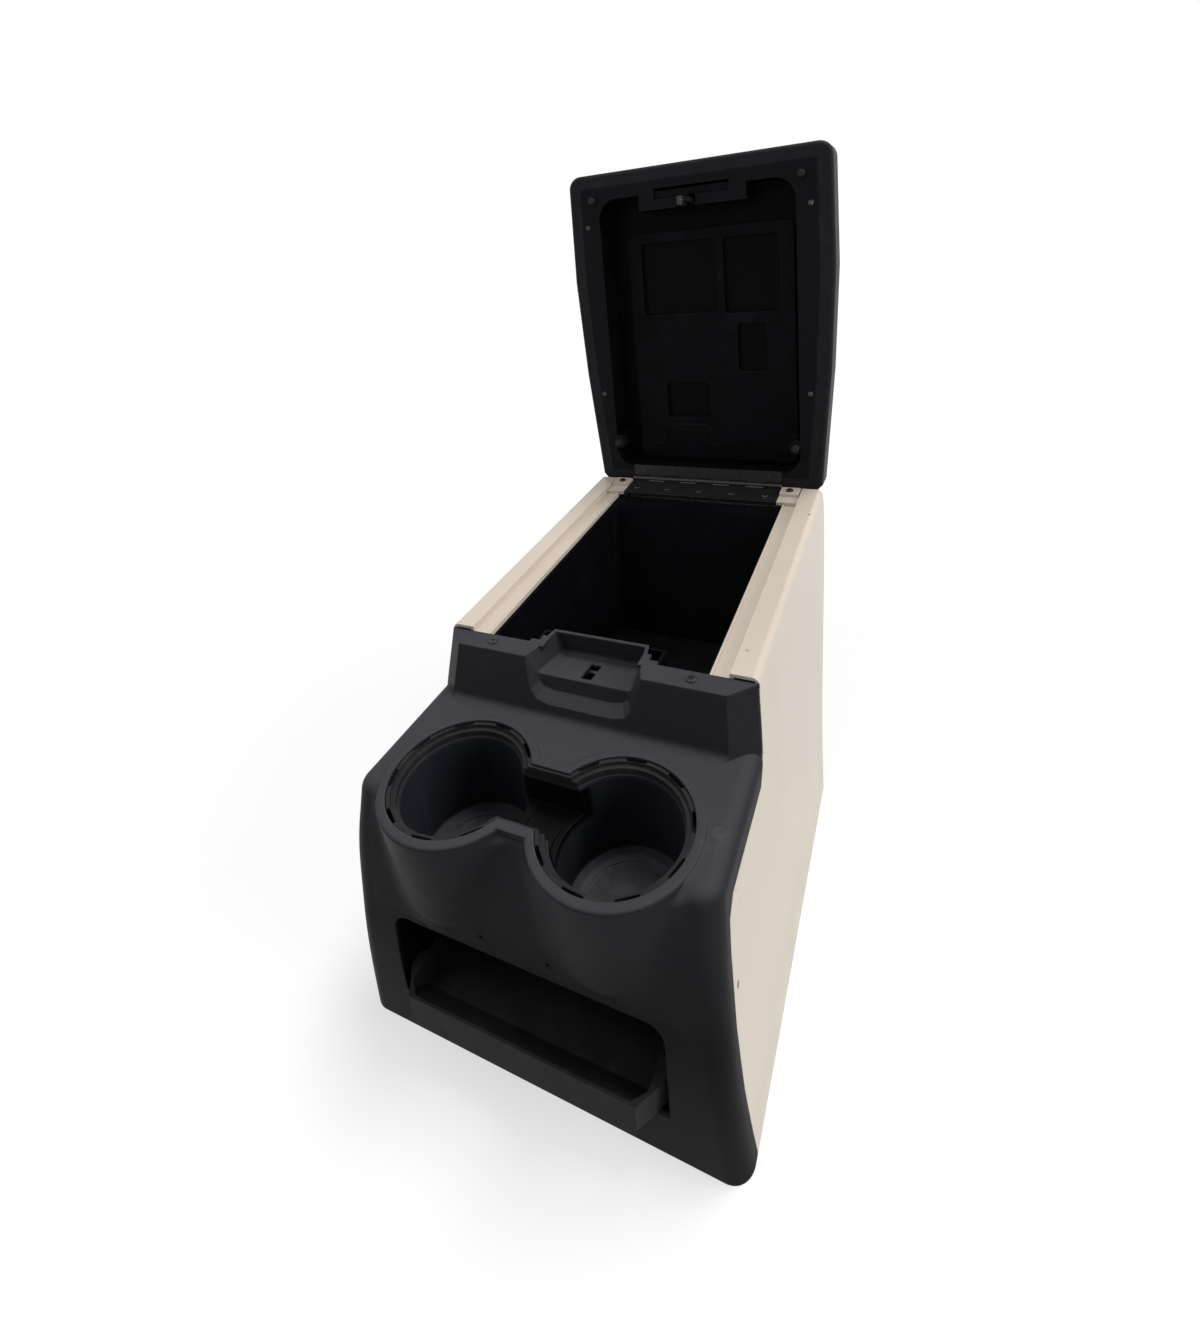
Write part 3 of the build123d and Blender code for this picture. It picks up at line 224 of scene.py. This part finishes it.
class Finish:
    """A material whose pattern is written with Field sums."""

    def __init__(self, name):
        self.material = bpy.data.materials.new(name)
        self.material.use_nodes = True
        self.tree = self.material.node_tree
        self.shader = self.tree.nodes["Principled BSDF"]

    @classmethod
    def of_world(cls, world):
        """The same way of writing nodes, for the world."""
        finish = cls.__new__(cls)
        finish.tree = world.node_tree
        for node in list(finish.tree.nodes):
            if node.type == "BACKGROUND":
                finish.tree.nodes.remove(node)
        return finish

    def node(self, kind, settings=None, inputs=None):
        node = self.tree.nodes.new(kind)
        for name, value in (settings or {}).items():
            setattr(node, name, value)
        for name, value in (inputs or {}).items():
            self.feed(node.inputs[name], value)
        return Node(self, node)

    def feed(self, socket, value):
        if isinstance(value, Field):
            self.tree.links.new(value.socket, socket)
        elif isinstance(value, (tuple, list)) and len(value) == 3 and len(socket.default_value) == 4:
            socket.default_value = (*value, 1)
        else:
            socket.default_value = value

    def vector(self, operation, *values):
        return self.node("ShaderNodeVectorMath", {"operation": operation}, dict(enumerate(values)))

    def place(self):
        return self.node("ShaderNodeTexCoord").field("Object")

    def along(self, axis):
        return self.node("ShaderNodeSeparateXYZ", {}, {0: self.place()}).field(axis)

    def scaled(self, stretch):
        return self.vector("MULTIPLY", self.place(), stretch).field(0)

    def noise(self, scale, detail=3.0, roughness=0.5, stretch=(1, 1, 1)):
        inputs = {"Vector": self.scaled(stretch), "Scale": scale, "Detail": detail, "Roughness": roughness}
        return self.node("ShaderNodeTexNoise", {}, inputs).field("Fac")

    def cells(self, scale):
        inputs = {"Vector": self.place(), "Scale": scale}
        return self.node("ShaderNodeTexVoronoi", {}, inputs).field("Distance")

    def cloud(self):
        """Uneven polish of a dark moulding."""
        return self.noise(26, 5, 0.65)

    def specks(self, low, high):
        """Dust that lies in small flecks."""
        return self.noise(120, 4, 0.6).ramp(low, high)

    def rounded(self, radius):
        """The normal as if edges and corners had this radius."""
        return self.node("ShaderNodeBevel", {"samples": 4}, {"Radius": radius}).field("Normal")

    def normal(self):
        return self.node("ShaderNodeNewGeometry").field("Normal")

    def edge(self, radius):
        """Large at edges and corners and 0 on flat stretches."""
        return 1 - self.vector("DOT_PRODUCT", self.rounded(radius), self.normal()).field("Value")

    def facing_up(self, low, high):
        """0 where the surface leans more than low says, and 1 where it lies flat."""
        return self.node("ShaderNodeSeparateXYZ", {}, {0: self.normal()}).field("Z").ramp(low, high)

    def mix(self, amount, first, second):
        settings = {"data_type": "RGBA", "blend_type": "MIX"}
        inputs = {"Factor": amount, MIX_FIRST: first, MIX_SECOND: second}
        return self.node("ShaderNodeMix", settings, inputs).field(MIX_RESULT)

    def spot(self, centre, reach):
        """1 at the centre, falling to 0 at the reach, both in millimetres."""
        away = self.vector("SUBTRACT", self.place(), tuple(c * MM for c in centre)).field(0)
        share = self.vector("DIVIDE", away, tuple(r * MM for r in reach)).field(0)
        return self.vector("LENGTH", share).field("Value").ramp(1.0, 0.0)

    def bump(self, height, strength, distance, edge_radius):
        """Grain over edges that look slightly rounded."""
        inputs = {
            "Height": height,
            "Strength": strength,
            "Distance": distance,
            "Normal": self.rounded(edge_radius),
        }
        self.set(Normal=self.node("ShaderNodeBump", {}, inputs).field("Normal"))

    def grain(self, strength):
        """Fine grain of a dark moulding."""
        height = self.cells(GRAIN_CELLS) + self.noise(GRAIN_RIPPLES, 2) * 0.6
        self.bump(height, strength, GRAIN_HEIGHT, SOFT_EDGE)

    def set(self, **values):
        for name, value in values.items():
            self.feed(self.shader.inputs[name.replace("_", " ")], value)
        return self.material


def bezel_finish():
    """Satin charcoal moulding: painted light and sheen on top, painted shade darker and browner low down,
    painted highlights with light wear on the edges, dust and a scuff.
    """
    charcoal = (0.020, 0.020, 0.023)
    shade_brown_black = (0.0062, 0.0050, 0.0056)
    mottled_grey = (0.028, 0.028, 0.032)
    top_light_grey = (0.046, 0.047, 0.053)
    dust_grey = (0.050, 0.047, 0.046)
    scuff_and_highlight_grey = (0.12, 0.12, 0.125)
    finish = Finish("bezel_plastic")
    cloud = finish.noise(9, 4)
    # painted shade: the bezel is painted darker and browner towards the bottom
    low = (finish.along("Z") + cloud * 0.05).ramp(*BEZEL_SHADE_Z)
    colour = finish.mix(low, charcoal, shade_brown_black)
    mottle = finish.noise(55, 4, 0.6)
    colour = finish.mix(mottle * (0.30 - low * 0.18), colour, mottled_grey)
    # painted light and sheen: faces that look up are painted lighter
    top_light = finish.facing_up(0.35, 0.97) * (0.75 + cloud * 0.4)
    colour = finish.mix(top_light, colour, top_light_grey)
    dust = finish.noise(21, 6, 0.7).ramp(0.52, 0.78) * (0.20 - low * 0.10)
    colour = finish.mix(dust, colour, dust_grey)
    scuff = finish.spot(SCUFF_PLACE, SCUFF_REACH) * finish.noise(90, 4, 0.6).ramp(0.40, 0.66)
    colour = finish.mix(scuff * 0.28, colour, scuff_and_highlight_grey)
    # painted highlight along the outer edges, with light wear
    outer = finish.along("Z").ramp(*HIGHLIGHT_DECK_Z).most(finish.along("X").size().ramp(*HIGHLIGHT_SIDE_X))
    edge_wear_and_highlight = finish.edge(MOULDED_EDGE).ramp(0.03, 0.25) * finish.noise(40, 3).ramp(0.2, 0.7) * outer
    colour = finish.mix(edge_wear_and_highlight * 0.42, colour, scuff_and_highlight_grey)
    height = finish.cells(BEZEL_CELLS) + finish.noise(BEZEL_RIPPLES, 2) * 0.5
    finish.bump(height, 0.15, GRAIN_HEIGHT, MOULDED_EDGE)
    roughness = 0.40 + mottle * 0.10 - scuff * 0.1
    return finish.set(Base_Color=colour, Roughness=roughness, Specular_IOR_Level=0.03)


def beige_finish(name="beige_plastic", shaded_half=None):
    """Semi-gloss warm beige moulding with faint smudges, a nick, a hole and tiny chips at the seam; when a
    half length is given, its middle is painted black as shade.
    """
    beige = (0.555, 0.480, 0.405)
    pale_beige = (0.620, 0.543, 0.463)
    streak_beige = (0.51, 0.435, 0.365)
    grime_brown = (0.42, 0.35, 0.29)
    speck_brown = (0.20, 0.15, 0.12)
    chip_brown = (0.055, 0.042, 0.034)
    bar_shade_black = (0.008, 0.008, 0.008)
    finish = Finish(name)
    streak = finish.noise(14, 5, 0.6, (1, 1, 0.25))
    colour = finish.mix(finish.noise(5, 4), beige, pale_beige)
    colour = finish.mix(streak.ramp(0.55, 0.8) * 0.30, colour, streak_beige)
    grime = finish.along("Z").ramp(*GRIME_Z) * finish.noise(20, 4).ramp(0.35, 0.75)
    colour = finish.mix(grime * 0.30, colour, grime_brown)
    specks = finish.cells(330).ramp(0.09, 0.03) * finish.noise(30, 2).ramp(0.62, 0.70)
    colour = finish.mix(specks * 0.6, colour, speck_brown)
    for centre, reach, strength in BEIGE_MARKS:
        ragged = (finish.spot(centre, reach) + finish.noise(600, 2) * 0.5 - 0.25).ramp(0.3, 0.5)
        colour = finish.mix(ragged * strength, colour, chip_brown)
    if shaded_half is not None:
        # painted shade: the middle of the crossbar is painted black
        middle = finish.along("X").size().ramp(shaded_half + SHADED_SOFT, shaded_half)
        colour = finish.mix(middle, colour, bar_shade_black)
    finish.bump(finish.noise(60, 2) + finish.noise(700, 2) * 0.1, 0.05, 0.0006, SOFT_EDGE)
    return finish.set(Base_Color=colour, Roughness=0.24 + streak * 0.14, Specular_IOR_Level=0.4)


def cup_finish():
    """Navy-black cup wells with painted highlights streaked up the walls and dusty floors; painted shade
    keeps the handle channel black, and the rim's top edge has a painted highlight.
    """
    navy_black = (0.010, 0.011, 0.015)
    navy = (0.018, 0.019, 0.026)
    highlight_navy = (0.040, 0.043, 0.056)
    dust_grey = (0.070, 0.071, 0.080)
    worn_grey = (0.11, 0.11, 0.12)
    channel_shade_black = (0.0015, 0.0015, 0.002)
    rim_grey = (0.030, 0.031, 0.036)
    finish = Finish("cup_plastic")
    cloud = finish.cloud()
    # painted highlights: lighter upright streaks on the walls
    wall_highlight = finish.noise(40, 5, 0.6, (1, 1, 0.15)).ramp(0.5, 0.75)
    colour = finish.mix(cloud, navy_black, navy)
    colour = finish.mix(wall_highlight * 0.4, colour, highlight_navy)
    floor = finish.along("Z").ramp(*DUSTY_FLOOR_Z)
    middle = (CUP_X, CUP_Y, CUP_FLOOR)
    worn_ring = finish.spot(middle, WORN_RING_OUTER) * finish.spot(middle, WORN_RING_INNER).ramp(0.02, 0.0)
    dust = finish.noise(60, 5, 0.65).ramp(0.3, 0.75)
    colour = finish.mix(floor * (0.38 + dust * 0.35), colour, dust_grey)
    colour = finish.mix(floor * worn_ring.ramp(0.0, 0.02) * 0.3, colour, worn_grey)
    # painted shade: the handle channel between the wells is painted black
    channel_shade = finish.along("X").size().ramp(*CHANNEL_X)
    channel_shade = channel_shade * finish.along("Z").ramp(*CHANNEL_FLOOR_Z) * finish.along("Z").ramp(*CHANNEL_TOP_Z)
    colour = finish.mix(channel_shade, colour, channel_shade_black)
    # painted highlight: the top edge of the rim is painted lighter
    colour = finish.mix(finish.along("Z").ramp(*CUP_RIM_Z) * 0.7, colour, rim_grey)
    finish.grain(0.1)
    return finish.set(Base_Color=colour, Roughness=0.34 + cloud * 0.15, Specular_IOR_Level=0.08)


def dark_finish(name, colour, lift, roughness, grain, dust, gloss):
    """Near-black moulding with a little dust and uneven polish."""
    finish = Finish(name)
    cloud = finish.cloud()
    tone = finish.mix(cloud.ramp(0.35, 0.8), colour, lift)
    dusty = tuple(c * 2.0 + 0.006 for c in lift)
    tone = finish.mix(finish.specks(0.56, 0.80) * dust, tone, dusty)
    finish.grain(grain)
    return finish.set(Base_Color=tone, Roughness=roughness + cloud * 0.15, Specular_IOR_Level=gloss)


def tray_finish():
    """Satin dark tray, dusty in front, with painted shade darker toward the back."""
    dark_grey = (0.018, 0.017, 0.019)
    grey = (0.033, 0.031, 0.032)
    dust_grey = (0.056, 0.054, 0.056)
    inside_shade_black = (0.0030, 0.0029, 0.0036)
    finish = Finish("tray_plastic")
    cloud = finish.cloud()
    colour = finish.mix(cloud.ramp(0.35, 0.8), dark_grey, grey)
    colour = finish.mix(finish.specks(0.56, 0.80) * 0.4, colour, dust_grey)
    # painted shade: darker the further back inside the mouth
    inside_shade = finish.along("Y").ramp(*TRAY_SHADE_Y)
    colour = finish.mix(inside_shade * 0.85, colour, inside_shade_black)
    finish.grain(0.12)
    return finish.set(Base_Color=colour, Roughness=0.45 + cloud * 0.15, Specular_IOR_Level=0.06)


def liner_finish():
    """Near-black inside of the lid: raised plate lighter, lighter higher up as painted light, painted
    highlights on the edges, pockets and moat darker as painted shade.
    """
    near_black = (0.0036, 0.0034, 0.0046)
    plate_grey = (0.0100, 0.0094, 0.0122)
    sunk_shade_black = (0.0024, 0.0024, 0.0034)
    rim_grey = (0.0125, 0.0115, 0.0140)
    highlight_grey = (0.060, 0.058, 0.066)
    dust_grey = (0.024, 0.023, 0.026)
    finish = Finish("liner_plastic")
    cloud = finish.cloud()
    lean = math.radians(LID_LEAN)
    behind = (finish.along("Y") - HINGE_Y) * math.cos(lean) - (finish.along("Z") - HINGE_Z) * math.sin(lean)
    # painted shade: pockets and moat sunk behind the plate are painted darker
    sunk = behind.ramp(*SUNK_BEHIND)
    # painted light: the plate is painted lighter higher up
    lit_higher = finish.along("Z").ramp(*LIT_HIGHER_Z) * 0.45 + 0.55
    colour = finish.mix(cloud.ramp(0.35, 0.8) * lit_higher, near_black, plate_grey)
    colour = finish.mix(sunk * 0.85, colour, sunk_shade_black)
    colour = finish.mix(behind.ramp(*RIM_BEHIND) * 0.7, colour, rim_grey)
    # painted highlights on the edges of the plate and pockets
    edge_highlight = finish.edge(PLATE_EDGE).ramp(0.03, 0.28) * (1 - sunk)
    colour = finish.mix(edge_highlight * 0.40, colour, highlight_grey)
    colour = finish.mix(finish.specks(0.58, 0.82) * 0.12, colour, dust_grey)
    finish.grain(0.1)
    return finish.set(Base_Color=colour, Roughness=0.34 + cloud * 0.15, Specular_IOR_Level=0.035)


def worn_metal(name, colour, bare, wear, roughness, metallic):
    """Painted or plated steel that has rubbed through in places."""
    finish = Finish(name)
    patches = finish.noise(240, 5, 0.7).ramp(wear, wear + 0.12)
    tone = finish.mix(patches, colour, bare)
    finish.bump(finish.noise(800, 3), 0.15, 0.0003, SOFT_EDGE / 3)
    return finish.set(Base_Color=tone, Roughness=roughness + patches * 0.1, Metallic=metallic)


# Dark mouldings: colour, its lighter patches, roughness, strength of the grain, share of dust and gloss
DARK_MOULDINGS = {
    "black_plastic": ((0.0024, 0.0024, 0.0034), (0.0045, 0.0045, 0.0066), 0.42, 0.1, 0.12, 0.025),
    "mat_rubber": ((0.003, 0.0028, 0.0034), (0.006, 0.0056, 0.0066), 0.75, 0.5, 0.12, 0.02),
    "ring_plastic": ((0.015, 0.015, 0.0165), (0.030, 0.029, 0.030), 0.42, 0.12, 0.3, 0.10),
    "lid_plastic": ((0.0135, 0.0122, 0.0145), (0.022, 0.0200, 0.0235), 0.42, 0.2, 0.3, 0.08),
    "bumper_rubber": ((0.02, 0.02, 0.02), (0.035, 0.034, 0.034), 0.5, 0.12, 0.3, 0.12),
}

# Metals: colour, colour where it has rubbed through, how little has, roughness and how metallic it is
METALS = {
    "black_steel": ((0.006, 0.006, 0.0065), (0.060, 0.048, 0.040), 0.60, 0.45, 0.2),
    "dark_steel": ((0.04, 0.04, 0.042), (0.16, 0.15, 0.14), 0.55, 0.35, 0.8),
    "steel": ((0.40, 0.40, 0.41), (0.30, 0.26, 0.22), 0.6, 0.35, 1.0),
    "striker_steel": ((0.035, 0.034, 0.034), (0.12, 0.11, 0.10), 0.55, 0.45, 0.5),
}

finishes = {
    "bezel_plastic": bezel_finish(),
    "beige_plastic": beige_finish(),
    "tray_plastic": tray_finish(),
    "liner_plastic": liner_finish(),
}
for name, values in DARK_MOULDINGS.items():
    finishes[name] = dark_finish(name, *values)
for name, values in METALS.items():
    finishes[name] = worn_metal(name, *values)

# Pieces whose finish differs from that of their slot; the crossbar's middle is painted black as shade
own_finishes = {
    "rear_crossbar": beige_finish("beige_crossbar_shaded", SHADED_HALF),
    "cup_insert": cup_finish(),
    "striker": finishes["striker_steel"],
}
slot_of = {entry["node"]: entry["material_slot"] for entry in frame["record"]["subparts"]}
for name, node in nodes.items():
    node.data.materials.clear()
    node.data.materials.append(own_finishes.get(name) or finishes[slot_of[name]])


def at_screw_hole(x, z):
    return math.hypot(abs(x) - HOLE_X, z - HOLE_Z) < HOLE_REACH


def skin_depth(columns, rows):
    """How far back the bezel's front skin lies at each column and row, as if it had no screw holes."""
    shape = bmesh.new()
    shape.from_mesh(nodes["front_bezel"].data)
    tree = BVHTree.FromBMesh(shape)
    shape.free()
    depth = np.full((len(rows), len(columns)), np.nan)
    for row, z in enumerate(rows):
        for column, x in enumerate(columns):
            hit = tree.ray_cast(Vector((x, BEFORE_BEZEL_Y, z)), Vector((0, 1, 0)))[0]
            if hit is not None and not at_screw_hole(x, z):
                depth[row, column] = hit.y
    for row in depth:
        known = ~np.isnan(row)
        row[~known] = np.interp(columns[~known], columns[known], row[known])
    return depth


def spread_out(depth):
    """The depth averaged over a soft round patch."""
    reach = np.arange(-3 * BLEND_SPREAD, 3 * BLEND_SPREAD + BLEND_STEP / 2, BLEND_STEP)
    weight = np.exp(-0.5 * (reach / BLEND_SPREAD) ** 2)
    weight /= weight.sum()
    wide = np.pad(depth, len(reach) // 2, mode="edge")
    across = np.apply_along_axis(np.convolve, 1, wide, weight, "valid")
    return np.apply_along_axis(np.convolve, 0, across, weight, "valid")


def fade(distance):
    """0 at the end of the blends and 1 where they have their full thickness."""
    return np.clip(distance / BLEND_FADE, 0, 1)


def cup_blends():
    """The moulded hollows between the round cup fronts and the face, laid over the sharp valleys."""
    columns = np.arange(-BLEND_HALF, BLEND_HALF + BLEND_STEP / 2, BLEND_STEP)
    rows = np.arange(BLEND_LOW, BLEND_HIGH + BLEND_STEP / 2, BLEND_STEP)
    plain = skin_depth(columns, rows)
    filled = plain
    for _ in range(BLEND_PASSES):
        filled = np.minimum(plain, spread_out(filled))
    full_height = fade(BLEND_HIGH - rows)[:, None] * fade(rows - BLEND_LOW)[:, None]
    full_width = fade(BLEND_HALF - np.abs(columns))[None, :]
    filled = plain + (filled - plain) * full_height * full_width
    proud = plain - filled > BLEND_THIN
    blend = bmesh.new()
    points = {}

    def point(row, column):
        if (row, column) not in points:
            sunk = 0.0 if proud[row, column] else BLEND_THIN
            points[row, column] = blend.verts.new((columns[column], filled[row, column] + sunk, rows[row]))
        return points[row, column]

    for row in range(len(rows) - 1):
        for column in range(len(columns) - 1):
            if not proud[row:row + 2, column:column + 2].any() or at_screw_hole(columns[column], rows[row]):
                continue
            corners = [(row, column), (row, column + 1), (row + 1, column + 1), (row + 1, column)]
            face = blend.faces.new([point(*corner) for corner in corners])
            face.smooth = True
    mesh = bpy.data.meshes.new("cup_blends")
    blend.to_mesh(mesh)
    blend.free()
    piece = bpy.data.objects.new("cup_blends", mesh)
    bpy.context.scene.collection.objects.link(piece)
    mesh.materials.append(finishes["bezel_plastic"])
    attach(piece, "console")


def seen_share(finish):
    """1 where a camera, glossy or transmission ray looks, 0 for light that only falls on the console."""
    rays = finish.node("ShaderNodeLightPath")
    seen = rays.field("Is Camera Ray").most(rays.field("Is Glossy Ray"))
    return seen.most(rays.field("Is Transmission Ray"))


def floor_paint():
    """Pale floor that looks nearly white, keeps the shadow and stays dark under the console."""
    finish = Finish("floor_paint")
    dull = finish.node("ShaderNodeBsdfDiffuse", {}, {"Color": FLOOR_DULL}).field(0)
    pale = finish.node("ShaderNodeBsdfDiffuse", {}, {"Color": FLOOR_PALE}).field(0)
    glow = finish.node("ShaderNodeEmission", {}, {"Color": WHITE, "Strength": 1.0}).field(0)
    across = finish.along("X").size().ramp(BASE_HALF, BASE_HALF - BASE_SOFT)
    from_front = finish.along("Y").ramp(BASE_FRONT, BASE_FRONT + BASE_SOFT)
    from_rear = finish.along("Y").ramp(BASE_REAR, BASE_REAR - BASE_SOFT)
    share = (1 - across * from_front * from_rear) * FLOOR_GLOW
    seen = finish.node("ShaderNodeMixShader", {}, {"Fac": share, 1: pale, 2: glow}).field(0)
    both = finish.node("ShaderNodeMixShader", {}, {"Fac": seen_share(finish), 1: dull, 2: seen}).field(0)
    finish.feed(finish.tree.nodes["Material Output"].inputs["Surface"], both)
    finish.tree.nodes.remove(finish.shader)
    return finish.material


def studio_world():
    """White where it is seen, and a soft light on the console."""
    world = bpy.data.worlds.new("studio")
    world.use_nodes = True
    finish = Finish.of_world(world)
    light = finish.node("ShaderNodeBackground", {}, {"Color": WHITE, "Strength": WORLD_LIGHT}).field(0)
    white = finish.node("ShaderNodeBackground", {}, {"Color": WHITE, "Strength": 1.0}).field(0)
    both = finish.node("ShaderNodeMixShader", {}, {"Fac": seen_share(finish), 1: light, 2: white}).field(0)
    finish.feed(finish.tree.nodes["World Output"].inputs["Surface"], both)
    return world


def stage_and_light():
    """Pale floor, studio world and soft suns."""
    bpy.ops.mesh.primitive_plane_add(size=FLOOR_SIDE, location=(0, 0, 0))
    floor = bpy.context.object
    floor.name = "floor"
    floor.data.materials.append(floor_paint())
    bpy.context.scene.world = studio_world()
    for name, toward, strength, spread in SUNS:
        sun = bpy.data.lights.new(name, "SUN")
        sun.energy = strength
        sun.angle = math.radians(spread)
        lamp = bpy.data.objects.new(name, sun)
        lamp.rotation_euler = Vector(toward).to_track_quat("Z", "Y").to_euler()
        bpy.context.scene.collection.objects.link(lamp)


def camera_of_the_photo():
    """The camera at the photograph's place, with its framing."""
    lens = bpy.data.cameras.new("camera")
    lens.lens = CAMERA_LENS
    lens.sensor_width = CAMERA_SENSOR
    lens.shift_x, lens.shift_y = CAMERA_SHIFT
    lens.clip_start = CAMERA_NEAREST
    camera = bpy.data.objects.new("camera", lens)
    turn, down, roll = (math.radians(v) for v in (CAMERA_TURN, CAMERA_DOWN, CAMERA_ROLL))
    ahead = Vector((-math.sin(turn) * math.cos(down), math.cos(turn) * math.cos(down), -math.sin(down)))
    right = ahead.cross(Vector((0, 0, 1))).normalized()
    below = ahead.cross(right)
    rolled_right = right * math.cos(roll) - below * math.sin(roll)
    rolled_below = right * math.sin(roll) + below * math.cos(roll)
    rotation = Matrix((rolled_right, -rolled_below, -ahead)).transposed()
    camera.matrix_world = Matrix.Translation(Vector(CAMERA_PLACE) * MM) @ rotation.to_4x4()
    bpy.context.scene.collection.objects.link(camera)
    bpy.context.scene.camera = camera


cup_blends()
stage_and_light()
camera_of_the_photo()
bpy.context.scene.view_settings.view_transform = "Standard"
